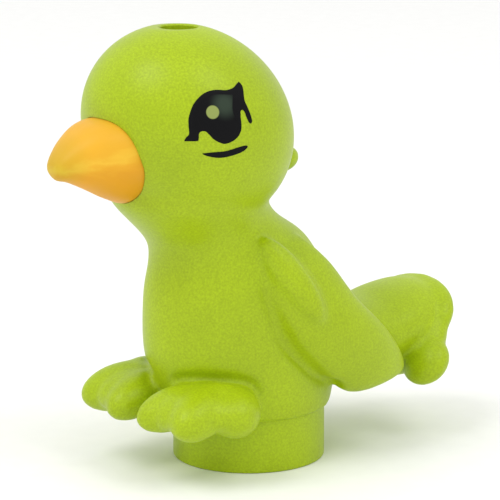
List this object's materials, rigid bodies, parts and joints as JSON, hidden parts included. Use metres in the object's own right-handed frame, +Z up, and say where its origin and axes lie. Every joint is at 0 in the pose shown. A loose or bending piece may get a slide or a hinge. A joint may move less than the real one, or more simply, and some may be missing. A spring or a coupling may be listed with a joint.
{
  "type": "toy bird figure",
  "caption": "Small moulded toy bird with folded wings, raised tail, orange beak, printed eyes and a round stud socket base.",
  "frame": {"origin": "centre of the bounding box's bottom face, in the plane of the base rim", "axes": "+Z up, +Y from the beak to the tail, +X to the bird's left"},
  "size_m": [0.0094, 0.0203, 0.0188],
  "materials": {
    "lime_abs": "satin moulded ABS",
    "orange_abs": "satin moulded ABS",
    "black_ink": "pad printed gloss ink"
  },
  "bodies": {
    "root": {"body_moulding": "lime_abs", "beak": "orange_abs", "left_iris_print": "black_ink", "left_lash_print": "black_ink", "left_lower_lid_print": "black_ink", "right_iris_print": "black_ink", "right_lash_print": "black_ink", "right_lower_lid_print": "black_ink"}
  },
  "joints": []
}
